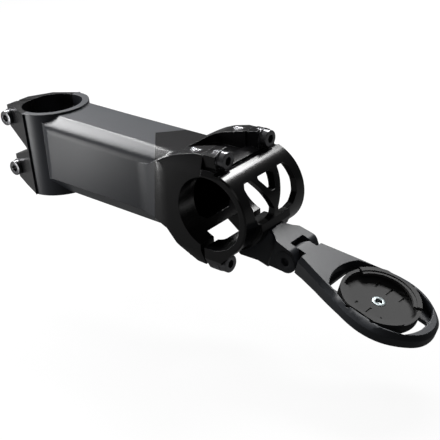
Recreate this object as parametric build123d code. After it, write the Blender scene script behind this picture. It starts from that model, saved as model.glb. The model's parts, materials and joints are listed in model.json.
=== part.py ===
from build123d import *
import os
from math import cos, radians, sin

# Handlebar stem with an out-front computer mount, in millimetres.
# Origin: centre of the steerer clamp bore.  +X forward, +Y to the rider's left, +Z up.

# ---------------------------------------------------------------- driving sizes
STEM_LENGTH = 110.0       # steerer axis to handlebar axis
STEM_DROP = 3.0           # degrees that the extension falls towards the handlebar
STEERER_R = 14.3          # 28.6 mm steerer tube
BAR_R = 15.9              # 31.8 mm handlebar
CLAMP_HALF = 20.0         # half the height of the steerer clamp
FACE_HALF = 20.5          # half the width of the handlebar clamp
BARREL_R = 17.5           # outside of the steerer clamp

EAR_TIP_X = -25.5         # rear end of the clamp ears
EAR_TIP_HALF = 6.8        # half the ears' width at their tips
EAR_ROOT = (-1.5, 17.43)  # where an ear's side meets the barrel
EAR_LOW_Z = -19.4         # underside of the ears at their tips
CLAMP_SLOT = 1.6
PINCH_X = -21.8           # pinch bolt axis
PINCH_Z = 12.9            # pinch bolts above and below the middle
PINCH_SEAT_Y = -8.3       # seat of the pinch bolt washers

BEAM_HALF = 17.0          # half the width of the beam
BEAM_TOP_HALF = 9.9       # half the width of its flat top
BEAM_SHOULDER = 7.0       # height of the sloping shoulder beside it
REAR_SHOULDER = 45.0      # degrees below level where the shoulder leaves the top: flat
FRONT_SHOULDER = 22.0     # rounded
CAVITY_HALF = 10.75       # hollow inside the beam
CAVITY_WALL = (4.6, 7.5)  # metal above and below the hollow, at its rear and front ends
CAVITY_REAR = 18.0        # blind rear end of the hollow

SPLIT_TOP = -3.2          # stem's front face above the bar, from the bar axis
SPLIT_LOW = -5.1          # stem's front face below the bar
PLATE_BACK = -3.05        # rear face of the faceplate
PLATE_R = 18.9            # outside of the faceplate
UPPER_BOLT = (14.0, 22.3)     # y and height of the upper faceplate bolts
LOWER_BOLT = (15.5, -22.9)
UPPER_SEAT = 2.6          # seats of the bolt washers, from the bar axis
LOWER_SEAT = 2.5
BOLT_HEAD_R = 3.6
BOLT_HEAD_H = 6.3
LOWER_HEAD_R = 3.8
LOWER_HEAD_H = 6.8
PINCH_HEAD_H = 6.0
M4_R = 2.0
M4_HOLE_R = 2.06          # running clearance in the threaded holes
WASHER_R = 4.0
WASHER_T = 0.6
VALLEY = (-20.8, 9.2, 17.1, 4.0)   # rear end, half width, floor and corner radius
JAW_WINDOW_HALF = 11.8    # half the gap between the two lower lugs
PLATE_GAP_FRONT = -0.6    # front end of that gap in the faceplate

HEAD_POS = (176.56, 0.0, -34.11)   # centre of the insert's rim, at its top
HEAD_TILT = 21.1          # degrees that the mount falls towards the front
PIVOT_U = -39.3           # tilt axis, behind the insert's centre
PIVOT_W = -5.7            # tilt axis, below the insert's rim
FORK_HALF = 8.8           # half the width over the fork's ears
FORK_GAP_HALF = 4.3       # half the gap between the ears
TONGUE_HALF = 3.9
TONGUE_R = 3.9
EAR_R = 5.0
NECK_TOP = 0.4            # fork's top face, above the insert's rim
M5_R = 2.5
M5_HOLE_R = 2.56
M3_R = 1.5

RING_DEPTH = 5.2          # thickness of the head
RING_BEVEL = 1.8          # slope around the head's upper edge
HOLE_R = 20.8             # hole in the head, fore and aft
HOLE_FLAT = 15.35         # hole's half width at its flat sides
HOLE_SIDE = ((-22, 9.2), (-14, 12.6), (-7, HOLE_FLAT), (9, HOLE_FLAT), (15, 12.8), (22, 8.5))
RELIEF_R = 1.1
RELIEF_U = 5.5            # round reliefs in the flat sides of the hole
FLOOR_TOP = -4.4          # floor that carries the insert
FLOOR_DEPTH = 1.8
WINDOW = (13.5, 19.2, 7.2)   # openings in the floor: nearest and farthest, half width
INSERT_R = 16.4           # outside of the insert, fore and aft
INSERT_HALF = 15.2        # half its width between the flats of the hole
INSERT_WALL = 1.4
INSERT_FLOOR = -3.0       # floor of the insert, below its rim
LIP_R = 13.0              # inner radius of the two bayonet lips
LIP_SPAN = 130.0          # degrees
SLOT_STEP = 5.7           # spacing of the floor slots, fore and aft
SLOT_ROWS = ((8.2, (4.0, 5.4, 3.6)), (-7.6, (1.6, 3.8, 1.0)))   # y of a row, its slots' lengths
SCREW_HEAD_R = 2.84

LOW = (Align.CENTER, Align.CENTER, Align.MIN)

# ---------------------------------------------------------------- places
stem_frame = Rot(0, STEM_DROP, 0)
bar_frame = stem_frame * Pos(STEM_LENGTH, 0, 0)
head_frame = Pos(*HEAD_POS) * Rot(0, HEAD_TILT, 0)


# ---------------------------------------------------------------- helpers
def outline(points):
    """Closed flat face through the points."""
    return make_face(Polyline(*points, close=True))


def side_prism(points, half_width):
    """Side view (x, z) carried sideways to both sides."""
    return extrude(Plane.XZ * outline(points), amount=half_width, both=True)


def plan_prism(points, low, high):
    """Top view (x, y) carried upwards from low to high."""
    return extrude(Plane.XY.offset(low) * outline(points), amount=high - low)


def front_prism(points, rear, front):
    """Front view (y, z) carried forwards from rear to front."""
    return extrude(Plane.YZ.offset(rear) * outline(points), amount=front - rear)


def block(x, y, z):
    """Box between pairs of limits."""
    size = (x[1] - x[0], y[1] - y[0], z[1] - z[0])
    centre = ((x[0] + x[1]) / 2, (y[0] + y[1]) / 2, (z[0] + z[1]) / 2)
    return Pos(*centre) * Box(*size)


def mirrored(points):
    """Points at y > 0 followed by their mirror images, as one closed outline."""
    return list(points) + [(x, -y) for x, y in reversed(points)]


def rod(start, direction, radius, length):
    """Cylinder that starts at a point and runs along a direction."""
    return Plane(origin=start, z_dir=direction) * Cylinder(radius, length, align=LOW)


def cross_rod(x, z, radius, half_width):
    """Cylinder along Y, centred."""
    return Pos(x, 0, z) * Rot(90, 0, 0) * Cylinder(radius, 2 * half_width)


def socket_bolt(head_r, head_h, shank_r, shank_length, key):
    """Cap screw on its own axis: the head stands on z = 0, the shank hangs below."""
    head = Cylinder(head_r, head_h, align=LOW)
    head = chamfer(head.edges().group_by(Axis.Z)[-1], 0.35)
    shank = Pos(0, 0, -shank_length) * Cylinder(shank_r, shank_length, align=LOW)
    shank = chamfer(shank.edges().group_by(Axis.Z)[0], 0.4)
    socket_depth = 0.6 * head_h
    socket = extrude(RegularPolygon(key / 2, 6, major_radius=False), amount=socket_depth)
    return head + shank - Pos(0, 0, head_h - socket_depth) * socket


def washer(inner_r, outer_r, thickness):
    return Cylinder(outer_r, thickness, align=LOW) - Cylinder(inner_r, thickness, align=LOW)


# ---------------------------------------------------------------- stem body
def section_levels(x):
    """Heights of the beam's top, lower crease and bottom, x from the steerer axis."""
    along = x / STEM_LENGTH
    return 20.1 - 2.1 * along, -9.2 - 1.2 * along, -17.2 - 2.0 * along


def beam_section(x, shoulder_angle):
    """Cross-section of the beam; its shoulder leaves the flat top at an angle below level."""
    top, low_crease, bottom = section_levels(x)
    side = (BEAM_HALF, top - BEAM_SHOULDER)
    steep = min(90.0, 135.0 - shoulder_angle)
    start = (cos(radians(shoulder_angle)), -sin(radians(shoulder_angle)))
    end = (cos(radians(steep)), -sin(radians(steep)))
    shoulder = Spline((BEAM_TOP_HALF, top), side, tangents=[start, end])
    rest = Polyline(side, (BEAM_HALF, low_crease), (BEAM_TOP_HALF, bottom), (0, bottom), (0, top),
                    (BEAM_TOP_HALF, top))
    half = make_face([shoulder, rest])
    return Plane.YZ.offset(x) * half


def cavity_section(x, inset):
    """Octagonal cross-section of the hollow inside the beam."""
    top, low_crease, bottom = section_levels(x)
    top_half = BEAM_TOP_HALF - 0.6 * (BEAM_HALF - CAVITY_HALF)
    half_outline = [(top_half, top - inset), (CAVITY_HALF, top - BEAM_SHOULDER - 0.4 * inset),
                    (CAVITY_HALF, low_crease + 0.3 * inset), (top_half, bottom + inset)]
    points = half_outline + [(-y, z) for y, z in reversed(half_outline)]
    return Plane.YZ.offset(x) * outline(points)


def beam():
    half = loft([beam_section(3.0, REAR_SHOULDER), beam_section(STEM_LENGTH - 16.0, FRONT_SHOULDER)])
    body = half + mirror(half, Plane.XZ)
    flute = mirrored([(0, 13.8), (8.2, 15.1), (13.2, 17.1), (STEM_LENGTH, 17.1)])
    return body & plan_prism(flute, -25, 25)


def seat_plan():
    """Top view of the handlebar clamp, swelling from the beam to its full width."""
    swell = Spline((-42, BEAM_HALF), (-22, FACE_HALF), tangents=[(1, 0), (1, 0)])
    rest = Polyline((-22, FACE_HALF), (0, FACE_HALF), (0, 0), (-50, 0), (-50, BEAM_HALF),
                    (-42, BEAM_HALF))
    half = make_face([swell, rest])
    return half + mirror(half, Plane.XZ)


def valley():
    """Pocket between the two upper bosses, in the bar's frame."""
    x_rear, half, floor, corner = VALLEY
    pocket = block((x_rear, 5), (-half, half), (floor, 30))
    return fillet(pocket.edges().filter_by(Axis.Z).group_by(Axis.X)[0], corner)


def bar_seat():
    """Rear half of the handlebar clamp, with its bosses and lower jaw, in the bar's frame."""
    side = [(-47, 10.8), (-34, 13.2), (-27.5, 16.9), (-21.5, 20.0), (-16, 22.2),
            (SPLIT_TOP, 25.3), (SPLIT_TOP, 0), (SPLIT_LOW, 0), (SPLIT_LOW, -25.6),
            (-9.5, -25.2), (-17, -19.6), (-23.5, -12.6), (-30, -10.7), (-47, -10.0)]
    front = [(10.0, 26), (18.2, 24.2), (FACE_HALF, 16.5), (FACE_HALF, -18), (17.4, -26)]
    front = front + [(-y, z) for y, z in reversed(front)]
    body = side_prism(side, 25) & front_prism(front, -50, 0)
    body &= extrude(Plane.XY.offset(-30) * seat_plan(), amount=60)
    for side_sign in (1, -1):
        y, z = UPPER_BOLT
        body -= rod((0, side_sign * y, z), (-1, 0, 0), M4_HOLE_R, 11.5)
        y, z = LOWER_BOLT
        body -= rod((0, side_sign * y, z), (-1, 0, 0), M4_HOLE_R, 14.0)
    window = side_prism([(0, -5), (-8.4, -5), (-8.4, -13.4), (-21, -21.5), (-21, -30), (0, -30)],
                        JAW_WINDOW_HALF)
    return body - window


def steerer_clamp():
    """Barrel of the steerer clamp, running into its two rear ears."""
    root_x, root_y = EAR_ROOT
    wedge = mirrored([(EAR_TIP_X, EAR_TIP_HALF), (root_x, root_y), (0, BARREL_R + 1),
                      (BARREL_R + 1, BARREL_R + 1)])
    side = [(-27, 17.6), (-13, CLAMP_HALF), (20, CLAMP_HALF), (20, -CLAMP_HALF),
            (-13, -CLAMP_HALF), (-27, EAR_LOW_Z)]
    body = plan_prism(wedge, -CLAMP_HALF, CLAMP_HALF) & side_prism(side, 25)
    front_half = Cylinder(BARREL_R, 2 * CLAMP_HALF) + block((-30, 0), (-25, 25), (-25, 25))
    return body & front_half


def stem_body():
    seat = bar_frame * bar_seat()
    shell = steerer_clamp() + stem_frame * beam() + seat
    shell -= bar_frame * (cross_rod(0, 0, BAR_R, 25) + valley())
    hollow_ends = zip((CAVITY_REAR, STEM_LENGTH - 12.0), CAVITY_WALL)
    hollow = [cavity_section(x, wall) for x, wall in hollow_ends]
    shell -= stem_frame * loft(hollow)
    shell -= Cylinder(STEERER_R, 60)
    shell -= block((-30, -STEERER_R + 2), (-CLAMP_SLOT / 2, CLAMP_SLOT / 2), (-25, 25))
    notch = [(-30, 7.9), (-4, 2.8), (-2, 1.6), (-4, 0.5), (-30, -9.2)]
    shell -= side_prism(notch, 25)
    for z in (PINCH_Z, -PINCH_Z):
        shell -= rod((PINCH_X, PINCH_SEAT_Y, z), (0, -1, 0), WASHER_R + 0.25, 12)
        shell -= cross_rod(PINCH_X, z, M4_HOLE_R, 15)
    return shell


# ---------------------------------------------------------------- faceplate
# outside of the thickened lower bar of the faceplate, where the mount sits, seen from the side
PLATE_KEEL = [(18.4, -3.9), (18.9, -7.4), (17.4, -10.9), (14.4, -14.5), (10.3, -17.6),
              (5.5, -19.7), (2.0, -20.3)]
# openings in the front of the faceplate, seen from the front, for y > 0
SIDE_WINDOW = [(8.8, 13.8), (13.0, 13.8), (15.0, 12.0), (15.2, 6.5), (14.3, 1.2),
               (12.0, -2.8), (8.5, -4.2), (3.6, -4.2), (1.5, -2.6), (1.2, 0.0), (5.1, 7.5)]
CENTRE_WINDOW = [(5.6, 13.8), (1.4, 7.4), (-1.4, 7.4), (-5.6, 13.8)]


def lug_pair(side, inner, outer):
    """Two lugs of one side view, between inner and outer on both sides."""
    lugs = side_prism(side, outer) - block((-60, 60), (-inner, inner), (-60, 60))
    return lugs


def plate_window(points, radius):
    cutter = front_prism(points, 5, 25)
    return fillet(cutter.edges().filter_by(Axis.X), radius)


def faceplate():
    """Faceplate in the bar's frame."""
    ring = cross_rod(0, 0, PLATE_R, FACE_HALF)
    ring = chamfer(ring.edges().filter_by(GeomType.CIRCLE), 0.6)
    keel = side_prism([(2.0, -8), (9, -3.9)] + PLATE_KEEL, 9.5)
    upper = lug_pair([(-10, 10), (-10, 24.0), (2.0, 26.0), (2.9, 25.2), (3.6, 10)], 9.8, 18.2)
    lower = lug_pair([(-10, -10), (-10, -25.0), (-2, -26.4), (3.6, -26.4), (4.3, -24.6),
                      (5.2, -20.9), (8.6, -17.9), (12.9, -13.4), (12, -10)],
                     JAW_WINDOW_HALF, FACE_HALF)
    bevel = [(17.2, -27), (FACE_HALF, -20.8), (FACE_HALF, 16.5), (18.2, 24.6), (9.8, 26.4)]
    bevel = bevel + [(-y, z) for y, z in reversed(bevel)]
    body = (ring + upper + lower) & front_prism(bevel, -20, 20)
    body += keel
    body -= block((3.6, 5.9), (-25, 25), (17.3, 30))
    body -= block((-30, PLATE_BACK), (-25, 25), (-40, 40))
    body -= block((-10, 0), (-25, 25), (-BAR_R, BAR_R)) + cross_rod(0, 0, BAR_R, 25)
    gap = block((-10, PLATE_GAP_FRONT), (-JAW_WINDOW_HALF, JAW_WINDOW_HALF), (-40, -5))
    body -= fillet(gap.edges().filter_by(Axis.Z).group_by(Axis.X)[-1], 3.5)
    mirror_window = [(-y, z) for y, z in SIDE_WINDOW]
    body -= plate_window(SIDE_WINDOW, 0.9)
    body -= plate_window(mirror_window, 0.9)
    body -= plate_window(CENTRE_WINDOW, 0.9)
    for (y, z), seat in ((UPPER_BOLT, UPPER_SEAT), (LOWER_BOLT, LOWER_SEAT)):
        for side_sign in (1, -1):
            body -= rod((-10, side_sign * y, z), (1, 0, 0), M4_R + 0.2, 30)
            body -= rod((seat, side_sign * y, z), (1, 0, 0), WASHER_R + 0.25, 30)
    for x, tip in BASE_SCREWS:
        body -= rod((x, 0, -30), (0, 0, 1), M3_R, 30 + tip)
    return body


# ---------------------------------------------------------------- mount bracket
BASE_BOTTOM = -24.0       # underside of the bracket's foot, in the bar's frame
BASE_HALF = 5.2
BASE_SCREWS = ((5.0, -16.6), (11.2, -13.4))   # x and the height of the tip
BASE_SCREW_SEAT = -21.9


def fork_outline():
    """Side view of the fork, around the tilt axis, in the head's frame."""
    u, w = PIVOT_U, PIVOT_W
    slope = (u + EAR_R * cos(radians(50)), w + EAR_R * sin(radians(50)))
    low = (u, w - EAR_R)
    edges = [
        Line((-56, NECK_TOP), (u - 0.2, NECK_TOP)),
        Spline((u - 0.2, NECK_TOP), slope, (u + EAR_R, w), tangents=[(1, 0), (0, -1)]),
        RadiusArc((u + EAR_R, w), low, EAR_R),
        Line(low, (-47.4, -13.1)),
        Line((-47.4, -13.1), (-48.4, -6.0)),
        Line((-48.4, -6.0), (-56, -3.0)),
        Line((-56, -3.0), (-56, NECK_TOP)),
    ]
    return make_face(edges)


def mount_bracket():
    fork = extrude(Plane.XZ * fork_outline(), amount=FORK_HALF, both=True)
    neck = mirrored([(-60, 4.0), (-51.5, 4.2), (-48.3, 6.2), (-46.2, 8.2), (-40, FORK_HALF),
                     (-30, FORK_HALF)])
    fork &= plan_prism(neck, -20, 5)
    fork -= block((PIVOT_U - 2.4, -20), (-FORK_GAP_HALF, FORK_GAP_HALF), (-20, 5))
    slot_r = TONGUE_R + 0.5
    fork -= cross_rod(PIVOT_U, PIVOT_W, slot_r, FORK_GAP_HALF)
    fork -= block((PIVOT_U - slot_r, PIVOT_U), (-FORK_GAP_HALF, FORK_GAP_HALF), (-20, PIVOT_W))
    foot = [(22, -11.5), (16, -7), (2.6, -7), (2.6, BASE_BOTTOM + 0.6), (3.4, BASE_BOTTOM),
            (12.6, BASE_BOTTOM), (17.6, -25.4), (19.5, -24), (20.5, -16)]
    body = head_frame * fork + bar_frame * side_prism(foot, BASE_HALF)
    keel = side_prism([(-5, 0), (-5, -20.4)] + PLATE_KEEL[::-1] + [(19, 5), (0, 5)], 12)
    ring = cross_rod(0, 0, PLATE_R, 12)
    body -= bar_frame * (keel + ring)
    body -= head_frame * block((-60, -40), (-FORK_HALF - 1, FORK_HALF + 1), (NECK_TOP, 12))
    for x, _ in BASE_SCREWS:
        body -= bar_frame * rod((x, 0, -30), (0, 0, 1), M3_R + 0.1, 30)
        body -= bar_frame * rod((x, 0, -40), (0, 0, 1), 2.95, 40 + BASE_SCREW_SEAT)
    pivot = cross_rod(PIVOT_U, PIVOT_W, M5_HOLE_R, 20)
    sink = Pos(PIVOT_U, -FORK_HALF, PIVOT_W) * Rot(-90, 0, 0) * Cone(
        4.75, M5_HOLE_R, 2.4, align=LOW)
    nut = Pos(PIVOT_U, FORK_HALF, PIVOT_W) * Rot(90, 0, 0) * extrude(
        RegularPolygon(4.05, 6, major_radius=False), amount=2.6)
    return body - head_frame * (pivot + sink + nut)


# ---------------------------------------------------------------- mount head
def head_outline():
    """Top view of the head, at its widest."""
    shoulder_u = PIVOT_U + 5.3
    side = [(-21.4, 12.7), (-9.1, 16.8), (2.2, 18.9), (12.0, 17.0), (19.4, 11.8), (24.8, 0)]
    bow = Spline(*side, tangents=[(1, 0.38), (0, -1)])
    arm = Polyline((0, 0), (shoulder_u, 0), (shoulder_u, 8.8), side[0])
    half = make_face([bow, arm, Line((0, 0), side[-1])])
    return half + mirror(half, Plane.XZ)


def hole_prism(low, height, spare):
    """Hole of the head, flat beside the insert and narrower towards both ends."""
    side = plan_prism(mirrored([(u, v + spare) for u, v in HOLE_SIDE]), low, low + height)
    return side & Pos(0, 0, low) * Cylinder(HOLE_R + spare, height, align=LOW)


def mount_head():
    """Tilting head in its own frame: insert's rim at z = 0."""
    body = extrude(Plane.XY.offset(-RING_DEPTH) * head_outline(), amount=RING_DEPTH)
    rim = body.edges().group_by(Axis.Z)[-1].filter_by(lambda e: e.center().X > PIVOT_U + 5.4)
    body = chamfer(rim, RING_BEVEL)
    root = [(PIVOT_U + 5.3, -2), (PIVOT_U + 5.3, -7.6), (-29.5, -6.9), (-6, 0.1 - RING_DEPTH), (-6, -2)]
    body += side_prism(root, 20) & extrude(Plane.XY.offset(-20) * head_outline(), amount=18.5)
    body -= hole_prism(FLOOR_TOP, 30, 0)
    for u in (-RELIEF_U, RELIEF_U):
        for v in (HOLE_FLAT - 0.2, -HOLE_FLAT + 0.2):
            body -= Pos(u, v, FLOOR_TOP) * Cylinder(RELIEF_R, 30, align=LOW)
    low = FLOOR_TOP - FLOOR_DEPTH
    body += hole_prism(low, FLOOR_DEPTH, 0.6)
    near, far, half = WINDOW
    for side_sign in (1, -1):
        opening = Pos(side_sign * (near + far) / 2, 0, 0) * Box(far - near, 2 * half, 30)
        body -= fillet(opening.edges().filter_by(Axis.Z), 1.5)
    body += Pos(0, 0, low - 2.0) * Cylinder(6.4, 2.6, align=LOW)
    body -= Cylinder(M4_R + 0.1, 30)
    body -= Pos(0, 0, low - 2.0) * extrude(RegularPolygon(3.55, 6, major_radius=False), amount=2.4)
    tongue = [(PIVOT_U, PIVOT_W - TONGUE_R), (-33, -7.4), (-33, 0), (PIVOT_U + 1.4, 0),
              (PIVOT_U - 2.6, PIVOT_W + 2.9)]
    body += side_prism(tongue, TONGUE_HALF) + cross_rod(PIVOT_U, PIVOT_W, TONGUE_R, TONGUE_HALF)
    return body - cross_rod(PIVOT_U, PIVOT_W, M5_HOLE_R, 20)


def arc_wall(inner_r, outer_r, low, high, middle, span):
    """Part of a ring, over an angle about its middle."""
    start = middle - span / 2
    arc_in = CenterArc((0, 0), inner_r, start, span)
    arc_out = CenterArc((0, 0), outer_r, start, span)
    ends = [Line(arc_in @ 0, arc_out @ 0), Line(arc_in @ 1, arc_out @ 1)]
    face = make_face([arc_in, arc_out] + ends)
    return extrude(Plane.XY.offset(low) * face, amount=high - low)


def quarter_turn_insert():
    """Round bayonet cup that takes the computer's two tabs."""
    bottom = FLOOR_TOP
    inside_r = INSERT_R - INSERT_WALL
    cup = Pos(0, 0, bottom) * Cylinder(INSERT_R, -0.4 - bottom, align=LOW)
    cup -= Pos(0, 0, INSERT_FLOOR) * (Cylinder(inside_r, 10, align=LOW)
                                      & Box(40, 2 * INSERT_HALF - 2.4, 40))
    for middle in (90, 270):
        cup += arc_wall(LIP_R, INSERT_R, -1.1, 0.0, middle, LIP_SPAN)
        cup += arc_wall(inside_r - 0.6, INSERT_R, 0.0, 0.4, middle, LIP_SPAN)
    cup &= Box(40, 2 * INSERT_HALF, 40)
    for v, lengths in SLOT_ROWS:
        for step, slot_length in zip((-1, 0, 1), lengths):
            cup -= Pos(step * SLOT_STEP, v, INSERT_FLOOR) * Box(0.9, slot_length, 0.8)
    sink = Pos(0, 0, INSERT_FLOOR) * Rot(180, 0, 0) * Cone(SCREW_HEAD_R + 0.1, M4_R + 0.1, 1.1, align=LOW)
    return cup - sink - Cylinder(M4_R + 0.1, 30)


# ---------------------------------------------------------------- fasteners of the mount
def insert_screw():
    """Countersunk centre screw, head flush with the insert's floor."""
    top = INSERT_FLOOR
    head = Pos(0, 0, top) * Rot(180, 0, 0) * Cone(SCREW_HEAD_R, M4_R, 1.1, align=LOW)
    screw = head + Pos(0, 0, top - 5.0) * Cylinder(M4_R, 5.0, align=LOW)
    socket = Pos(0, 0, top - 0.9) * extrude(RegularPolygon(1.25, 6, major_radius=False), amount=1)
    return screw - socket


def insert_nut():
    low = FLOOR_TOP - FLOOR_DEPTH - 1.9
    nut = Pos(0, 0, low) * extrude(RegularPolygon(3.5, 6, major_radius=False), amount=2.2)
    return nut - Cylinder(M4_R, 40)


def hinge_screw():
    """Countersunk tilt screw, head in the right ear and thread in the nut."""
    head = Pos(PIVOT_U, -FORK_HALF, PIVOT_W) * Rot(-90, 0, 0) * Cone(
        4.65, M5_R, 2.3, align=LOW)
    shank = rod((PIVOT_U, -FORK_HALF, PIVOT_W), (0, 1, 0), M5_R, 2 * FORK_HALF - 0.2)
    socket = Pos(PIVOT_U, -FORK_HALF + 1.9, PIVOT_W) * Rot(90, 0, 0) * extrude(
        RegularPolygon(1.75, 6, major_radius=False), amount=3)
    return head + shank - socket


def hinge_nut():
    nut = Pos(PIVOT_U, FORK_HALF - 0.1, PIVOT_W) * Rot(90, 0, 0) * extrude(
        RegularPolygon(4.0, 6, major_radius=False), amount=2.45)
    return nut - cross_rod(PIVOT_U, PIVOT_W, M5_R, 20)


def hinge_washer(side_sign):
    start = side_sign * (TONGUE_HALF + 0.02)
    ring = washer(M5_R + 0.08, TONGUE_R, FORK_GAP_HALF - TONGUE_HALF - 0.04)
    return Plane(origin=(PIVOT_U, start, PIVOT_W), z_dir=(0, side_sign, 0)) * ring


# ---------------------------------------------------------------- the whole assembly
def faceplate_bolts():
    """Bolts and washers of the faceplate, by node name."""
    pieces = {}
    places = (("upper", UPPER_BOLT, UPPER_SEAT, 12.5, BOLT_HEAD_R, BOLT_HEAD_H),
              ("lower", LOWER_BOLT, LOWER_SEAT, 14.5, LOWER_HEAD_R, LOWER_HEAD_H))
    for level, (y, z), seat, length, head_r, head_h in places:
        for side_name, side_sign in (("left", 1), ("right", -1)):
            spot = Plane(origin=(seat, side_sign * y, z), z_dir=(1, 0, 0))
            head = spot.offset(WASHER_T)
            bolt = head * socket_bolt(head_r, head_h, M4_R, length, 3.2)
            ring = spot * washer(M4_R + 0.1, WASHER_R, WASHER_T)
            pieces[f"faceplate_bolt_{level}_{side_name}"] = bar_frame * bolt
            pieces[f"faceplate_washer_{level}_{side_name}"] = bar_frame * ring
    return pieces


def pinch_bolts():
    """Bolts and washers of the steerer clamp, by node name."""
    pieces = {}
    for level, z in (("upper", PINCH_Z), ("lower", -PINCH_Z)):
        spot = Plane(origin=(PINCH_X, PINCH_SEAT_Y, z), z_dir=(0, -1, 0))
        bolt = spot.offset(WASHER_T) * socket_bolt(BOLT_HEAD_R, PINCH_HEAD_H, M4_R, 15.7, 3.2)
        pieces[f"steerer_bolt_{level}"] = bolt
        pieces[f"steerer_washer_{level}"] = spot * washer(M4_R + 0.1, WASHER_R, WASHER_T)
    return pieces


def base_screws():
    """Screws that hold the bracket under the faceplate, by node name."""
    pieces = {}
    for name, (x, tip) in zip(("rear", "front"), BASE_SCREWS):
        spot = Plane(origin=(x, 0, BASE_SCREW_SEAT), z_dir=(0, 0, -1))
        length = tip - BASE_SCREW_SEAT - 0.1
        screw = spot * socket_bolt(2.7, 1.9, M3_R, length, 2.0)
        pieces[f"bracket_screw_{name}"] = bar_frame * screw
    return pieces


def assembly():
    pieces = {
        "stem_body": stem_body(),
        "faceplate": bar_frame * faceplate(),
        "mount_bracket": mount_bracket(),
        "mount_head": head_frame * mount_head(),
        "quarter_turn_insert": head_frame * quarter_turn_insert(),
        "insert_screw": head_frame * insert_screw(),
        "insert_nut": head_frame * insert_nut(),
        "hinge_screw": head_frame * hinge_screw(),
        "hinge_nut": head_frame * hinge_nut(),
        "hinge_washer_left": head_frame * hinge_washer(1),
        "hinge_washer_right": head_frame * hinge_washer(-1),
    }
    pieces.update(faceplate_bolts())
    pieces.update(pinch_bolts())
    pieces.update(base_screws())
    return pieces


os.makedirs("parts", exist_ok=True)
for node, solid in assembly().items():
    export_step(solid, f"parts/{node}.step")
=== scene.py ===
import json
from math import cos, pi, radians, sin

import bpy
from mathutils import Matrix, Vector


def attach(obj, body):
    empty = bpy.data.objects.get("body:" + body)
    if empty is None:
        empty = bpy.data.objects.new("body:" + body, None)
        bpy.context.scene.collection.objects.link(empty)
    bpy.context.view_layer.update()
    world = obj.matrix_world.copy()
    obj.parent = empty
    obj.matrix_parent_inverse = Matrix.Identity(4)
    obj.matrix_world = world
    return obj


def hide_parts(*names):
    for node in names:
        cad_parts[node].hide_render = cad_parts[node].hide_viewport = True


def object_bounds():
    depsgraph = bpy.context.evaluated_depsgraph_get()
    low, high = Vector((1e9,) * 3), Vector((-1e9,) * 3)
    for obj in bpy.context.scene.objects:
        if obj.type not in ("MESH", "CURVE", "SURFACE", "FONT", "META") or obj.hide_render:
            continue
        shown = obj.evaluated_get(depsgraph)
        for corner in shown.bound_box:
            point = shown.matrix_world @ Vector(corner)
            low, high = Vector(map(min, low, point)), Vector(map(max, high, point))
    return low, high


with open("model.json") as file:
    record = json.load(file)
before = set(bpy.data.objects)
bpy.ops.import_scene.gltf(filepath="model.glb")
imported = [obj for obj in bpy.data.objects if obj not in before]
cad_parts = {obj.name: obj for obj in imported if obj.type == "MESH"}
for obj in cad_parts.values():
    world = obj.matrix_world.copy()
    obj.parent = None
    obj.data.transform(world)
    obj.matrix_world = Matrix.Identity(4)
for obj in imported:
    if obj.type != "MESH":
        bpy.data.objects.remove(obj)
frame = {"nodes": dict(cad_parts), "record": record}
CAD_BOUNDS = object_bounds()

bl_info = {
    "name": "Handlebar Stem and Computer Mount",
    "version": (1, 0, 0),
    "blender": (4, 5, 0),
    "location": "View3D > Sidebar > Stem",
    "description": "Finishes a handlebar stem with its faceplate, bolts and computer mount",
    "category": "Object",
}

MM = 0.001
MOUNTS = {mount["name"]: mount for mount in frame["record"]["mounts"]}

# Three working frames: the steerer clamp's is the world's own, and the other two are the
# handlebar clamp's, on the falling beam, and the tilting head's.
BAR_FALL = radians(3.0)
BAR_AXIS = Vector((cos(BAR_FALL), 0, -sin(BAR_FALL)))
BAR_UP = Vector((sin(BAR_FALL), 0, cos(BAR_FALL)))
BAR_CENTRE = Vector(MOUNTS["bar_clamp"]["pos_m"])
BAYONET_CENTRE = Vector(MOUNTS["computer_bayonet"]["pos_m"])
BAYONET_UP = Vector(MOUNTS["computer_bayonet"]["axis"]).normalized()


def frame_at(centre, z_axis, x_axis):
    """Matrix that carries local x and z onto the two directions, about a centre."""
    z = z_axis.normalized()
    x = (x_axis - x_axis.dot(z) * z).normalized()
    turn = Matrix((x, z.cross(x), z)).transposed().to_4x4()
    return Matrix.Translation(centre) @ turn


BAR_FRAME = frame_at(BAR_CENTRE, BAR_UP, BAR_AXIS)
HEAD_FRAME = frame_at(BAYONET_CENTRE, BAYONET_UP, Vector((1, 0, 0)))


# ---------------------------------------------------------------- settings
def colour(name, description, default):
    return bpy.props.FloatVectorProperty(
        name=name, description=description, default=default, size=3, min=0, max=1,
        subtype="COLOR")


def length(name, description, default):
    return bpy.props.FloatProperty(
        name=name, description=description, default=default, min=0, unit="LENGTH",
        subtype="DISTANCE", precision=5)


def factor(name, description, default):
    return bpy.props.FloatProperty(
        name=name, description=description, default=default, min=0, max=1, subtype="FACTOR")


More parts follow.
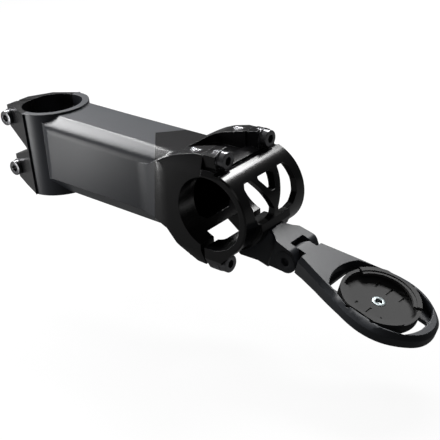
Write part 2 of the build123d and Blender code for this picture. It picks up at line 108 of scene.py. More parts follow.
class FinishSettings(bpy.types.PropertyGroup):
    """Colours and surface sizes of the stem and the mount."""
    graphite: colour("Graphite", "Satin paint of the stem's rear", (0.019, 0.021, 0.026))
    black: colour("Black", "Gloss paint of the stem's front and the faceplate",
                  (0.0045, 0.0045, 0.005))
    anodised: colour("Anodised", "Matt dark grey of the mount", (0.026, 0.029, 0.035))
    resin: colour("Resin", "Moulded plastic of the insert", (0.018, 0.018, 0.020))
    oxide: colour("Black oxide", "Bolts and washers", (0.17, 0.17, 0.178))
    zinc: colour("Zinc", "Centre screw and nuts", (0.22, 0.245, 0.25))
    worn: colour("Worn edge", "Paler metal that shows on sharp edges", (0.16, 0.165, 0.18))
    finish_break: length("Finish break", "Point of the black paint's chevron, from the steerer axis",
                         0.0632)
    break_sweep: factor("Break sweep", "Forward run of the chevron per width", 0.89)
    break_lean: factor("Break lean", "Forward run of the chevron per height", 0.155)
    break_blur: length("Break blur", "Width of the change between the two paints", 0.0004)
    # The clamp ears behind this plane are coloured black, with the gloss of the stem's front.
    ear_black_start: length("Ear break", "Black of the clamp ears starts this far behind the axis",
                      0.0014)
    edge_width: length("Edge width", "Rounding that catches light on sharp edges", 0.00030)


class HardwareSettings(bpy.types.PropertyGroup):
    """Sizes of the bolts and screws."""
    head_radius: length("Head radius", "Upper faceplate bolts", 0.0036)
    head_height: length("Head height", "Upper faceplate bolts", 0.0063)
    lower_radius: length("Lower head radius", "Lower faceplate bolts", 0.0038)
    lower_height: length("Lower head height", "Lower faceplate bolts", 0.0068)
    pinch_height: length("Pinch head height", "Steerer clamp bolts", 0.0060)
    shank_radius: length("Shank radius", "All four-millimetre bolts", 0.0020)
    socket_width: length("Socket width", "Across the flats of the bolts' sockets", 0.0032)
    stem_edge: length("Stem edge", "Rounding of the stem's edges", 0.00035)
    mount_edge: length("Mount edge", "Rounding of the mount's edges", 0.00030)
    thread_pitch: length("Thread pitch", "Spacing of the shanks' thread grooves", 0.0007)


class StageSettings(bpy.types.PropertyGroup):
    """Camera, floor and lamps."""
    camera_place: bpy.props.FloatVectorProperty(
        name="Camera place", description="Where the camera stands", size=3, unit="LENGTH",
        subtype="TRANSLATION", default=(0.3501, -0.2878, 0.1554))
    camera_target: bpy.props.FloatVectorProperty(
        name="Camera target", description="Point in the middle of the picture", size=3,
        unit="LENGTH", subtype="TRANSLATION", default=(0.09427, 0.00407, -0.02167))
    camera_roll: bpy.props.FloatProperty(
        name="Camera roll", description="Turn of the camera about its own line of sight",
        default=radians(-5.456), unit="ROTATION", subtype="ANGLE")
    lens: bpy.props.FloatProperty(
        name="Lens", description="Focal length on a 36 mm sensor", default=80.4,
        unit="CAMERA")
    floor_grey: factor("Floor", "How much of the light the floor gives back", 0.05)
    floor_glow: bpy.props.FloatProperty(
        name="Floor glow", description="White that the floor shows to the camera and in gloss",
        default=0.93, min=0)
    gloss_share: factor("Gloss share", "Part of the floor's white that gloss picks up", 0.10)
    ambient: factor("Ambient", "Strength of the even light from all round", 0.06)


# ---------------------------------------------------------------- node groups
def group_of(name, inputs, outputs):
    """Empty shader node group with named sockets."""
    tree = bpy.data.node_groups.new(name, "ShaderNodeTree")
    for socket, kind, default in inputs:
        made = tree.interface.new_socket(socket, in_out="INPUT", socket_type=kind)
        made.default_value = default
    for socket, kind in outputs:
        tree.interface.new_socket(socket, in_out="OUTPUT", socket_type=kind)
    return tree, tree.nodes.new("NodeGroupInput"), tree.nodes.new("NodeGroupOutput")


def math_node(tree, operation, first, second=None, third=None):
    node = tree.nodes.new("ShaderNodeMath")
    node.operation = operation
    for socket, value in zip(node.inputs, (first, second, third)):
        if value is None:
            continue
        if isinstance(value, bpy.types.NodeSocket):
            tree.links.new(value, socket)
        else:
            socket.default_value = value
    return node.outputs[0]


def ramp_between(tree, value, low, high):
    """0 below low, 1 above high, smooth between."""
    node = tree.nodes.new("ShaderNodeMapRange")
    node.interpolation_type = "SMOOTHSTEP"
    tree.links.new(value, node.inputs["Value"])
    for name, limit in (("From Min", low), ("From Max", high)):
        if isinstance(limit, bpy.types.NodeSocket):
            tree.links.new(limit, node.inputs[name])
        else:
            node.inputs[name].default_value = limit
    return node.outputs["Result"]


def blend_colour(tree, mask, first, second):
    node = tree.nodes.new("ShaderNodeMix")
    node.data_type = "RGBA"
    tree.links.new(mask, node.inputs["Factor"])
    for socket, value in ((node.inputs[6], first), (node.inputs[7], second)):
        if isinstance(value, bpy.types.NodeSocket):
            tree.links.new(value, socket)
        else:
            socket.default_value = (*value, 1)
    return node.outputs[2]


def edge_wear_group():
    """Rounded normal and a mask along sharp edges, broken up by noise."""
    tree, source, sink = group_of(
        "Edge Wear",
        (("Width", "NodeSocketFloat", 0.0003), ("Amount", "NodeSocketFloat", 0.5)),
        (("Mask", "NodeSocketFloat"), ("Normal", "NodeSocketVector")))
    bevel = tree.nodes.new("ShaderNodeBevel")
    bevel.samples = 6
    tree.links.new(source.outputs["Width"], bevel.inputs["Radius"])
    surface = tree.nodes.new("ShaderNodeNewGeometry")
    dot = tree.nodes.new("ShaderNodeVectorMath")
    dot.operation = "DOT_PRODUCT"
    tree.links.new(bevel.outputs["Normal"], dot.inputs[0])
    tree.links.new(surface.outputs["Normal"], dot.inputs[1])
    turned = math_node(tree, "SUBTRACT", 1.0, dot.outputs["Value"])
    edge = ramp_between(tree, turned, 0.01, 0.12)
    place = tree.nodes.new("ShaderNodeTexCoord")
    noise = tree.nodes.new("ShaderNodeTexNoise")
    noise.inputs["Scale"].default_value = 260.0
    noise.inputs["Detail"].default_value = 3.0
    tree.links.new(place.outputs["Object"], noise.inputs["Vector"])
    patch = ramp_between(tree, noise.outputs["Fac"], 0.35, 0.70)
    mask = math_node(tree, "MULTIPLY", edge, patch)
    mask = math_node(tree, "MULTIPLY", mask, source.outputs["Amount"])
    tree.links.new(mask, sink.inputs["Mask"])
    tree.links.new(bevel.outputs["Normal"], sink.inputs["Normal"])
    return tree


def fine_grain_group():
    """Fine surface grain: a height for bump and a value for roughness."""
    tree, source, sink = group_of(
        "Fine Grain",
        (("Scale", "NodeSocketFloat", 3000.0), ("Roughness", "NodeSocketFloat", 0.4),
         ("Spread", "NodeSocketFloat", 0.08)),
        (("Height", "NodeSocketFloat"), ("Roughness", "NodeSocketFloat")))
    place = tree.nodes.new("ShaderNodeTexCoord")
    noise = tree.nodes.new("ShaderNodeTexNoise")
    noise.inputs["Detail"].default_value = 2.0
    tree.links.new(place.outputs["Object"], noise.inputs["Vector"])
    tree.links.new(source.outputs["Scale"], noise.inputs["Scale"])
    broad = tree.nodes.new("ShaderNodeTexNoise")
    broad.inputs["Scale"].default_value = 55.0
    broad.inputs["Detail"].default_value = 4.0
    tree.links.new(place.outputs["Object"], broad.inputs["Vector"])
    off_centre = math_node(tree, "SUBTRACT", broad.outputs["Fac"], 0.5)
    swing = math_node(tree, "MULTIPLY", off_centre, source.outputs["Spread"])
    rough = math_node(tree, "ADD", source.outputs["Roughness"], swing)
    tree.links.new(noise.outputs["Fac"], sink.inputs["Height"])
    tree.links.new(rough, sink.inputs["Roughness"])
    return tree


def dust_group():
    """Thin dust on faces that look up."""
    tree, source, sink = group_of(
        "Dust", (("Amount", "NodeSocketFloat", 0.1),), (("Mask", "NodeSocketFloat"),))
    surface = tree.nodes.new("ShaderNodeNewGeometry")
    parts = tree.nodes.new("ShaderNodeSeparateXYZ")
    tree.links.new(surface.outputs["Normal"], parts.inputs[0])
    up = ramp_between(tree, parts.outputs["Z"], 0.3, 1.0)
    place = tree.nodes.new("ShaderNodeTexCoord")
    noise = tree.nodes.new("ShaderNodeTexNoise")
    noise.inputs["Scale"].default_value = 900.0
    noise.inputs["Detail"].default_value = 5.0
    tree.links.new(place.outputs["Object"], noise.inputs["Vector"])
    speck = ramp_between(tree, noise.outputs["Fac"], 0.5, 0.85)
    mask = math_node(tree, "MULTIPLY", up, speck)
    mask = math_node(tree, "MULTIPLY", mask, source.outputs["Amount"])
    tree.links.new(mask, sink.inputs["Mask"])
    return tree


def shared_group(name):
    builders = {"Edge Wear": edge_wear_group, "Fine Grain": fine_grain_group, "Dust": dust_group}
    return bpy.data.node_groups.get(name) or builders[name]()


def place_group(tree, name, **values):
    node = tree.nodes.new("ShaderNodeGroup")
    node.node_tree = shared_group(name)
    for socket, value in values.items():
        node.inputs[socket].default_value = value
    return node


# ---------------------------------------------------------------- materials
DUST_COLOUR = (0.22, 0.21, 0.20)
GRAIN_HEIGHT = 0.2 * MM
SATIN_ROUGH = 0.40
GLOSS_ROUGH = 0.26


def finish_material(name, base, rough, specular=0.3, metallic=0.0, wear=0.4,
                    dust=0.03, grain=3000.0, bump=0.02, spread=0.06):
    """Painted, plated or moulded surface with worn edges, grain and a little dust."""
    settings = bpy.context.scene.stem_finish
    material = bpy.data.materials.new(name)
    material.use_nodes = True
    tree = material.node_tree
    shader = tree.nodes["Principled BSDF"]
    edge = place_group(tree, "Edge Wear", Width=settings.edge_width, Amount=wear)
    surface = place_group(tree, "Fine Grain", Scale=grain, Roughness=rough, Spread=spread)
    specks = place_group(tree, "Dust", Amount=dust)
    paint = base(tree) if callable(base) else base
    worn = blend_colour(tree, edge.outputs["Mask"], paint, tuple(settings.worn))
    dusty = blend_colour(tree, specks.outputs["Mask"], worn, DUST_COLOUR)
    tree.links.new(dusty, shader.inputs["Base Color"])
    tree.links.new(surface.outputs["Roughness"], shader.inputs["Roughness"])
    relief = tree.nodes.new("ShaderNodeBump")
    relief.inputs["Strength"].default_value = bump
    relief.inputs["Distance"].default_value = GRAIN_HEIGHT
    tree.links.new(surface.outputs["Height"], relief.inputs["Height"])
    tree.links.new(edge.outputs["Normal"], relief.inputs["Normal"])
    tree.links.new(relief.outputs["Normal"], shader.inputs["Normal"])
    shader.inputs["Metallic"].default_value = metallic
    shader.inputs["Specular IOR Level"].default_value = specular
    return material


def finish_break_mask(tree):
    """1 on the two black ends of the stem: the front past the chevron, and the clamp ears."""
    settings = bpy.context.scene.stem_finish
    place = tree.nodes.new("ShaderNodeTexCoord")
    parts = tree.nodes.new("ShaderNodeSeparateXYZ")
    tree.links.new(place.outputs["Object"], parts.inputs[0])
    across = math_node(tree, "ABSOLUTE", parts.outputs["Y"])
    swept = math_node(tree, "MULTIPLY_ADD", across, -settings.break_sweep, parts.outputs["X"])
    swept = math_node(tree, "MULTIPLY_ADD", parts.outputs["Z"], -settings.break_lean, swept)
    half = settings.break_blur / 2
    front = ramp_between(tree, swept, settings.finish_break - half, settings.finish_break + half)
    # The clamp ears, behind the steerer axis, are coloured black like the front.
    behind = math_node(tree, "MULTIPLY", parts.outputs["X"], -1.0)
    ears = ramp_between(tree, behind, settings.ear_black_start - half, settings.ear_black_start + half)
    return math_node(tree, "MAXIMUM", front, ears)


def stem_material():
    """Satin graphite behind the break, gloss black in front of it."""
    settings = bpy.context.scene.stem_finish
    masks = {}

    def two_tone(tree):
        masks["front"] = finish_break_mask(tree)
        return blend_colour(tree, masks["front"], tuple(settings.graphite), tuple(settings.black))

    material = finish_material("stem_two_tone", two_tone, SATIN_ROUGH, specular=0.35,
                               wear=0.25, dust=0.02, bump=0.03)
    tree = material.node_tree
    shader = tree.nodes["Principled BSDF"]
    satin = shader.inputs["Roughness"].links[0].from_socket
    gloss = tree.nodes.new("ShaderNodeMix")
    tree.links.new(masks["front"], gloss.inputs["Factor"])
    tree.links.new(satin, gloss.inputs[2])
    gloss.inputs[3].default_value = GLOSS_ROUGH
    tree.links.new(gloss.outputs[0], shader.inputs["Roughness"])
    return material


def material_named(name):
    """The finish of that name, built the first time it is asked for."""
    found = bpy.data.materials.get(name)
    if found:
        return found
    settings = bpy.context.scene.stem_finish
    if name == "stem_two_tone":
        return stem_material()
    recipes = {
        "gloss_black": dict(base=tuple(settings.black), rough=0.20, specular=0.4, wear=0.3),
        "anodised_grey": dict(base=tuple(settings.anodised), rough=0.46, specular=0.4,
                              grain=5200.0, bump=0.06, wear=0.35),
        "insert_resin": dict(base=tuple(settings.resin), rough=0.38, specular=0.35,
                             grain=4200.0, bump=0.08, wear=0.1),
        "washer_resin": dict(base=tuple(settings.resin), rough=0.55, specular=0.3, wear=0.0),
        "black_oxide": dict(base=tuple(settings.oxide), rough=0.27, metallic=0.9, wear=0.35),
        "zinc_plate": dict(base=tuple(settings.zinc), rough=0.42, metallic=1.0, wear=0.0,
                           dust=0.02),
    }
    return finish_material(name, **recipes[name])


def paint(obj, name, slot_name):
    """Gives a piece one finish all over."""
    obj.data.materials.clear()
    obj.data.materials.append(material_named(name))


# ---------------------------------------------------------------- modelling by hand
ROUND_SIDES = 64
SOCKET_SIDES = 6
LEVEL = 0.9              # a face looks straight up or down when its normal's z passes this
SAME_HEIGHT = 0.001 * MM
NECK = 1.2 * MM          # smooth stretch of a shank under its head
TIP = 0.6 * MM           # smooth stretch at a shank's end
TIP_TAPER = 0.82
THREAD_DEPTH = 0.12 * MM
HEAD_ROUND = 0.10        # rounding of a cap head's rim, as a share of its radius
SOCKET_SHARE = 0.6       # socket depth as a share of a cap head's height
FLUSH_RIM = 0.2 * MM     # straight rim of a countersunk head
SCREW_SMOOTH = radians(32)
COPY_SMOOTH = radians(50)
COPY_EDGE = 38.0         # edges of a copied casting sharper than this, in degrees, are rounded
SCREW_EDGE = 50.0


def deselect_all():
    if bpy.context.object and bpy.context.object.mode != "OBJECT":
        bpy.ops.object.mode_set(mode="OBJECT")
    bpy.ops.object.select_all(action="DESELECT")


def select_faces(obj, chosen):
    """Selects faces by a test on them, and enters edit mode in face selection."""
    bpy.ops.object.mode_set(mode="EDIT")
    bpy.ops.mesh.select_mode(type="FACE")
    bpy.ops.mesh.select_all(action="DESELECT")
    bpy.ops.object.mode_set(mode="OBJECT")
    count = 0
    for face in obj.data.polygons:
        face.select = bool(chosen(face))
        count += face.select
    if not count:
        raise RuntimeError(f"no face of {obj.name} was selected")
    bpy.ops.object.mode_set(mode="EDIT")


def top_face(obj):
    """Test for the face that looks up and lies highest."""
    height = max(face.center.z for face in obj.data.polygons)
    return lambda face: face.normal.z > LEVEL and face.center.z > height - SAME_HEIGHT


def bottom_face(obj):
    """Test for the face that looks down and lies lowest."""
    height = min(face.center.z for face in obj.data.polygons)
    return lambda face: face.normal.z < -LEVEL and face.center.z < height + SAME_HEIGHT


def apply_modifier(obj, name):
    bpy.context.view_layer.objects.active = obj
    bpy.ops.object.modifier_apply(modifier=name)


def edge_bevel(obj, width, angle, segments=2):
    """Real rounding on edges sharper than the angle, in degrees."""
    bevel = obj.modifiers.new("edges", "BEVEL")
    bevel.width = width
    bevel.segments = segments
    bevel.limit_method = "ANGLE"
    bevel.angle_limit = radians(angle)
    bevel.miter_outer = "MITER_ARC"
    apply_modifier(obj, "edges")


def cut_socket(obj, key, depth, top):
    """Cuts a hexagonal socket, key wide across its flats, down from the top."""
    bpy.ops.mesh.primitive_cylinder_add(
        vertices=SOCKET_SIDES, radius=key / 2 / cos(pi / SOCKET_SIDES), depth=2 * depth,
        location=(0, 0, top))
    tool = bpy.context.object
    cut = obj.modifiers.new("socket", "BOOLEAN")
    cut.operation = "DIFFERENCE"
    cut.solver = "EXACT"
    cut.object = tool
    apply_modifier(obj, "socket")
    bpy.data.objects.remove(tool, do_unlink=True)


def settle(obj, place):
    """Puts the piece where it belongs and leaves its object at the origin."""
    deselect_all()
    obj.select_set(True)
    bpy.context.view_layer.objects.active = obj
    obj.matrix_world = place
    bpy.ops.object.transform_apply(location=True, rotation=True, scale=True)
    bpy.ops.object.shade_smooth_by_angle(angle=SCREW_SMOOTH)
    return obj


def cap_screw(name, place, head_r, head_h, shank_r, shank_length, key, pitch):
    """Socket cap screw: the head stands on z = 0, the grooved shank hangs below."""
    deselect_all()
    bpy.ops.mesh.primitive_cylinder_add(
        vertices=ROUND_SIDES, radius=head_r, depth=head_h, location=(0, 0, head_h / 2))
    obj = bpy.context.object
    obj.name = name
    select_faces(obj, top_face(obj))
    bpy.ops.mesh.bevel(offset=HEAD_ROUND * head_r, segments=3, affect="EDGES")
    bpy.ops.object.mode_set(mode="OBJECT")
    select_faces(obj, bottom_face(obj))
    bpy.ops.mesh.inset(thickness=head_r - shank_r)
    bpy.ops.mesh.extrude_region_move(TRANSFORM_OT_translate={"value": (0, 0, -NECK)})
    turns = int((shank_length - NECK - TIP) / pitch)
    root = 1 - THREAD_DEPTH / shank_r
    for turn in range(turns):
        for drop, swell in ((0.4 * pitch, root), (0.2 * pitch, 1.0), (0.4 * pitch, 1 / root)):
            bpy.ops.mesh.extrude_region_move(TRANSFORM_OT_translate={"value": (0, 0, -drop)})
            bpy.ops.transform.resize(value=(swell, swell, 1))
    left = shank_length - NECK - turns * pitch
    bpy.ops.mesh.extrude_region_move(TRANSFORM_OT_translate={"value": (0, 0, -left)})
    bpy.ops.transform.resize(value=(TIP_TAPER, TIP_TAPER, 1))
    bpy.ops.object.mode_set(mode="OBJECT")
    cut_socket(obj, key, SOCKET_SHARE * head_h, head_h)
    edge_bevel(obj, 0.08 * MM, SCREW_EDGE, segments=1)
    return settle(obj, place)


def countersunk_screw(name, place, head_r, head_h, shank_r, shank_length, key, depth):
    """Flush screw: its face is at z = 0, and all of it hangs below."""
    deselect_all()
    bpy.ops.mesh.primitive_cylinder_add(
        vertices=ROUND_SIDES, radius=head_r, depth=FLUSH_RIM, location=(0, 0, -FLUSH_RIM / 2))
    obj = bpy.context.object
    obj.name = name
    select_faces(obj, bottom_face(obj))
    bpy.ops.mesh.extrude_region_move(
        TRANSFORM_OT_translate={"value": (0, 0, -(head_h - FLUSH_RIM))})
    bpy.ops.transform.resize(value=(shank_r / head_r, shank_r / head_r, 1))
    bpy.ops.mesh.extrude_region_move(
        TRANSFORM_OT_translate={"value": (0, 0, -(shank_length - head_h))})
    bpy.ops.object.mode_set(mode="OBJECT")
    cut_socket(obj, key, depth, 0)
    edge_bevel(obj, 0.12 * MM, SCREW_EDGE)
    return settle(obj, place)


def finished_copy(node, name, width):
    """Copy of a CAD node with merged faces and really rounded edges."""
    deselect_all()
    obj = bpy.data.objects.new(name, frame["nodes"][node].data.copy())
    bpy.context.scene.collection.objects.link(obj)
    bpy.context.view_layer.objects.active = obj
    obj.select_set(True)
    bpy.ops.object.mode_set(mode="EDIT")
    bpy.ops.mesh.select_all(action="SELECT")
    bpy.ops.mesh.remove_doubles(threshold=0.002 * MM)
    bpy.ops.mesh.dissolve_limited(angle_limit=radians(0.5), delimit=set())
    bpy.ops.object.mode_set(mode="OBJECT")
    edge_bevel(obj, width, COPY_EDGE)
    bpy.ops.object.shade_smooth_by_angle(angle=COPY_SMOOTH)
    even = obj.modifiers.new("flat faces", "WEIGHTED_NORMAL")
    even.weight = 100
    even.keep_sharp = True
    apply_modifier(obj, "flat faces")
    return obj


def stand_for(obj, node, body, finish, slot_name):
    """Finishes a new piece: it replaces a CAD node and rides on that node's body."""
    paint(obj, finish, slot_name)
    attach(obj, body)
    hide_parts(node)


def finish_nodes(names, finish, slot_name):
    """CAD nodes whose shape is already right only get their finish."""
    for name in names:
        paint(frame["nodes"][name], finish, slot_name)


# ---------------------------------------------------------------- places of the hardware
# Bolt places are (across, up) in the handlebar clamp's frame, and each seat is a height along
# the bolt. The pinch bolts are in the world's frame and the tilt screw in the head's.
UPPER_BOLT = (14.0 * MM, 22.3 * MM)
LOWER_BOLT = (15.5 * MM, -22.9 * MM)
UPPER_SHANK = 12.5 * MM
LOWER_SHANK = 14.5 * MM
PINCH_SHANK = 15.7 * MM
UPPER_SEAT = 2.6 * MM
LOWER_SEAT = 2.5 * MM
WASHER = 0.6 * MM
PINCH_X = -21.8 * MM
PINCH_Z = 12.9 * MM
PINCH_SEAT = -8.3 * MM
PIVOT = Vector((-39.3, 0, -5.7)) * MM
FORK_HALF = 8.8 * MM
TILT_SCREW = dict(head_r=4.65 * MM, head_h=2.3 * MM, shank_r=2.5 * MM,
                  shank_length=2 * FORK_HALF - 0.2 * MM, key=3.5 * MM, depth=1.9 * MM)
INSERT_FLOOR = -3.0 * MM
CENTRE_SCREW = dict(head_r=2.84 * MM, head_h=1.1 * MM, shank_r=2.0 * MM,
                    shank_length=5.0 * MM, key=2.5 * MM, depth=0.9 * MM)


class PieceOperator(bpy.types.Operator):
    """Common ground of the operators that finish pieces"""
    bl_options = {"REGISTER", "UNDO"}

    def execute(self, context):
        self.build(context.scene.stem_finish, context.scene.stem_hardware)
        return {"FINISHED"}


class STEM_OT_stem_body(PieceOperator):
    """Forged stem with its two-tone paint"""
    bl_idname = "stem.stem_body"
    bl_label = "Stem Body"

    def build(self, finish, hardware):
        body = finished_copy("stem_body", "forged_stem", hardware.stem_edge)
        stand_for(body, "stem_body", "stem", "stem_two_tone", "stem_finish")


class STEM_OT_faceplate(PieceOperator):
    """Open faceplate that clamps the handlebar"""
    bl_idname = "stem.faceplate"
    bl_label = "Faceplate"

    def build(self, finish, hardware):
        finish_nodes(["faceplate"], "gloss_black", "faceplate_finish")


class STEM_OT_faceplate_bolts(PieceOperator):
    """Four cap screws of the faceplate with their washers"""
    bl_idname = "stem.faceplate_bolts"
    bl_label = "Faceplate Bolts"

    def build(self, finish, hardware):
        rows = (("upper", UPPER_BOLT, UPPER_SEAT, UPPER_SHANK, hardware.head_radius,
                 hardware.head_height),
                ("lower", LOWER_BOLT, LOWER_SEAT, LOWER_SHANK, hardware.lower_radius,
                 hardware.lower_height))
        for level, (y, z), seat, shank, head_r, head_h in rows:
            for side, sign in (("left", 1), ("right", -1)):
                node = f"faceplate_bolt_{level}_{side}"
                spot = Vector((seat + WASHER, sign * y, z))
                place = BAR_FRAME @ frame_at(spot, Vector((1, 0, 0)), Vector((0, 1, 0.3 * sign)))
                screw = cap_screw(f"cap_screw_{level}_{side}", place, head_r, head_h,
                                  hardware.shank_radius, shank, hardware.socket_width,
                                  hardware.thread_pitch)
                stand_for(screw, node, "faceplate_unit", "black_oxide", "black_hardware")
                finish_nodes([node.replace("bolt", "washer")], "black_oxide", "black_hardware")


class STEM_OT_pinch_bolts(PieceOperator):
    """Two cap screws of the steerer clamp with their washers"""
    bl_idname = "stem.pinch_bolts"
    bl_label = "Pinch Bolts"

    def build(self, finish, hardware):
        for level, sign in (("upper", 1), ("lower", -1)):
            spot = Vector((PINCH_X, PINCH_SEAT - WASHER, sign * PINCH_Z))
            place = frame_at(spot, Vector((0, -1, 0)), Vector((1, 0, 0.4)))
            screw = cap_screw(f"pinch_screw_{level}", place, hardware.head_radius,
                              hardware.pinch_height, hardware.shank_radius, PINCH_SHANK,
                              hardware.socket_width, hardware.thread_pitch)
            stand_for(screw, f"steerer_bolt_{level}", "stem", "black_oxide", "black_hardware")
            finish_nodes([f"steerer_washer_{level}"], "black_oxide", "black_hardware")


class STEM_OT_bracket(PieceOperator):
    """Forked bracket under the faceplate and its two screws"""
    bl_idname = "stem.bracket"
    bl_label = "Mount Bracket"

    def build(self, finish, hardware):
        bracket = finished_copy("mount_bracket", "forked_bracket", hardware.mount_edge)
        stand_for(bracket, "mount_bracket", "faceplate_unit", "anodised_grey", "mount_finish")
        finish_nodes(["bracket_screw_rear", "bracket_screw_front"], "black_oxide",
                     "black_hardware")


class STEM_OT_hinge(PieceOperator):
    """Tilt screw with its nut and two thin washers"""
    bl_idname = "stem.hinge"
    bl_label = "Tilt Hinge"

    def build(self, finish, hardware):
        face = PIVOT + Vector((0, -FORK_HALF, 0))
        place = HEAD_FRAME @ frame_at(face, Vector((0, -1, 0)), Vector((1, 0, 0.2)))
        screw = countersunk_screw("tilt_screw", place, **TILT_SCREW)
        stand_for(screw, "hinge_screw", "faceplate_unit", "anodised_grey", "black_hardware")
        finish_nodes(["hinge_nut"], "zinc_plate", "silver_screw")
        finish_nodes(["hinge_washer_left", "hinge_washer_right"], "washer_resin",
                     "washer_resin")


class STEM_OT_head(PieceOperator):
    """Tilting ring that carries the bayonet insert"""
    bl_idname = "stem.head"
    bl_label = "Mount Head"

    def build(self, finish, hardware):
        head = finished_copy("mount_head", "tilting_ring", hardware.mount_edge)
        stand_for(head, "mount_head", "head", "anodised_grey", "mount_finish")


class STEM_OT_insert(PieceOperator):
    """Quarter-turn insert with its centre screw and nut"""
    bl_idname = "stem.insert"
    bl_label = "Bayonet Insert"

    def build(self, finish, hardware):
        finish_nodes(["quarter_turn_insert"], "insert_resin", "insert_resin")
        place = HEAD_FRAME @ Matrix.Translation((0, 0, INSERT_FLOOR))
        screw = countersunk_screw("centre_screw", place, **CENTRE_SCREW)
        stand_for(screw, "insert_screw", "head", "zinc_plate", "silver_screw")
        finish_nodes(["insert_nut"], "zinc_plate", "silver_screw")


# ---------------------------------------------------------------- stage
WHITE = (1, 1, 1, 1)
FLOOR_WIDTH = 12.0
# The floor stands this far under the part at rest, so that the head can tilt down above it.
TILT_ROOM = 22 * MM
LAMPS = (
    # name, place from the object's middle in metres, size (across, along) and watts
    ("overhead strip", (-0.16, 0.54, 0.69), (0.50, 0.16), 9.5),
    ("rear strip", (-0.55, 0.06, 0.48), (0.52, 0.12), 9.0),
    ("rear side light", (-0.165, -0.115, 0.01), (0.03, 0.10), 0.14),
    ("front fill", (0.60, -0.82, 0.60), (0.40, 0.40), 0.25),
)


def softbox(name, offset, size, watts, target):
    """Rectangular lamp that looks at the target."""
    bpy.ops.object.light_add(type="AREA")
    lamp = bpy.context.object
    lamp.name = name
    lamp.data.shape = "RECTANGLE"
    lamp.data.size, lamp.data.size_y = size
    lamp.data.energy = watts
    towards = Vector(offset).normalized()
    lamp.location = target + Vector(offset)
    lamp.visible_camera = False
    lamp.rotation_euler = (-towards).to_track_quat("-Z", "Y").to_euler()


def white_to_camera(tree, shader_output, level, gloss_share):
    """Adds white that only the camera, glass and, in part, gloss see."""
    path = tree.nodes.new("ShaderNodeLightPath")
    gloss = math_node(tree, "MULTIPLY", path.outputs["Is Glossy Ray"], gloss_share)
    seen = math_node(tree, "MAXIMUM", path.outputs["Is Camera Ray"], gloss)
    seen = math_node(tree, "MAXIMUM", seen, path.outputs["Is Transmission Ray"])
    glow = tree.nodes.new("ShaderNodeEmission")
    glow.inputs["Color"].default_value = WHITE
    tree.links.new(math_node(tree, "MULTIPLY", seen, level), glow.inputs["Strength"])
    both = tree.nodes.new("ShaderNodeAddShader")
    tree.links.new(shader_output, both.inputs[0])
    tree.links.new(glow.outputs[0], both.inputs[1])
    return both.outputs[0]


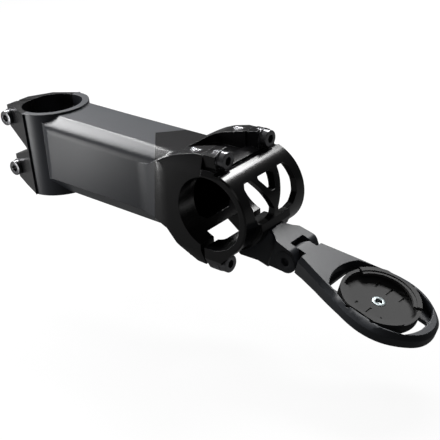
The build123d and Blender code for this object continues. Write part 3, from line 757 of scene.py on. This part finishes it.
class STEM_OT_stage(bpy.types.Operator):
    """Pale floor, soft lamps and the camera"""
    bl_idname = "stem.stage"
    bl_label = "Stage"

    def execute(self, context):
        stage = context.scene.stem_stage
        low, high = (Vector(corner) for corner in CAD_BOUNDS)
        centre = (low + high) / 2
        self.floor(stage, centre, low.z - TILT_ROOM)
        self.world(stage)
        for row in LAMPS:
            softbox(*row, centre)
        self.camera(stage)
        context.scene.view_settings.view_transform = "Standard"
        return {"FINISHED"}

    def floor(self, stage, centre, height):
        deselect_all()
        bpy.ops.mesh.primitive_plane_add(size=FLOOR_WIDTH, location=(centre.x, centre.y, height))
        floor = bpy.context.object
        floor.name = "studio_floor"
        material = bpy.data.materials.new("studio_floor_white")
        material.use_nodes = True
        tree = material.node_tree
        shader = tree.nodes["Principled BSDF"]
        grey = (stage.floor_grey,) * 3
        shader.inputs["Base Color"].default_value = (*grey, 1)
        shader.inputs["Roughness"].default_value = 1.0
        shader.inputs["Specular IOR Level"].default_value = 0.0
        output = tree.nodes["Material Output"]
        lit = white_to_camera(tree, shader.outputs[0], stage.floor_glow, stage.gloss_share)
        tree.links.new(lit, output.inputs["Surface"])
        floor.data.materials.append(material)

    def world(self, stage):
        world = bpy.data.worlds.new("studio_air")
        bpy.context.scene.world = world
        world.use_nodes = True
        tree = world.node_tree
        even = tree.nodes["Background"]
        even.inputs["Color"].default_value = WHITE
        even.inputs["Strength"].default_value = stage.ambient
        path = tree.nodes.new("ShaderNodeLightPath")
        white = tree.nodes.new("ShaderNodeBackground")
        choice = tree.nodes.new("ShaderNodeMixShader")
        white.inputs["Color"].default_value = WHITE
        white.inputs["Strength"].default_value = 1.0
        tree.links.new(path.outputs["Is Camera Ray"], choice.inputs["Fac"])
        tree.links.new(even.outputs[0], choice.inputs[1])
        tree.links.new(white.outputs[0], choice.inputs[2])
        tree.links.new(choice.outputs[0], tree.nodes["World Output"].inputs["Surface"])

    def camera(self, stage):
        bpy.ops.object.camera_add()
        camera = bpy.context.object
        camera.name = "front_right_camera"
        camera.data.sensor_width = 36.0
        camera.data.lens = stage.lens
        camera.data.clip_start = 0.01
        camera.data.clip_end = 50.0
        place, target = Vector(stage.camera_place), Vector(stage.camera_target)
        look = (target - place).to_track_quat("-Z", "Y").to_matrix().to_4x4()
        roll = Matrix.Rotation(stage.camera_roll, 4, "Z")
        camera.matrix_world = Matrix.Translation(place) @ look @ roll
        bpy.context.scene.camera = camera


class STEM_PT_panel(bpy.types.Panel):
    """Sidebar panel with every step of the build"""
    bl_idname = "STEM_PT_panel"
    bl_label = "Handlebar Stem"
    bl_space_type = "VIEW_3D"
    bl_region_type = "UI"
    bl_category = "Stem"

    def draw(self, context):
        scene = context.scene
        for group in (scene.stem_finish, scene.stem_hardware, scene.stem_stage):
            box = self.layout.box()
            for name in group.__annotations__:
                box.prop(group, name)
        for operator in OPERATORS:
            self.layout.operator(operator.bl_idname)


OPERATORS = (STEM_OT_stem_body, STEM_OT_faceplate, STEM_OT_faceplate_bolts, STEM_OT_pinch_bolts,
             STEM_OT_bracket, STEM_OT_hinge, STEM_OT_head, STEM_OT_insert, STEM_OT_stage)
GROUPS = (("stem_finish", FinishSettings), ("stem_hardware", HardwareSettings),
          ("stem_stage", StageSettings))


def register():
    for name, group in GROUPS:
        bpy.utils.register_class(group)
        setattr(bpy.types.Scene, name, bpy.props.PointerProperty(type=group))
    for cls in (*OPERATORS, STEM_PT_panel):
        bpy.utils.register_class(cls)


def unregister():
    for cls in (STEM_PT_panel, *reversed(OPERATORS)):
        bpy.utils.unregister_class(cls)
    for name, group in reversed(GROUPS):
        delattr(bpy.types.Scene, name)
        bpy.utils.unregister_class(group)


def main():
    register()
    for operator in OPERATORS:
        step = operator.bl_idname.split(".")[1]
        getattr(bpy.ops.stem, step)()


if __name__ == "__main__":
    main()
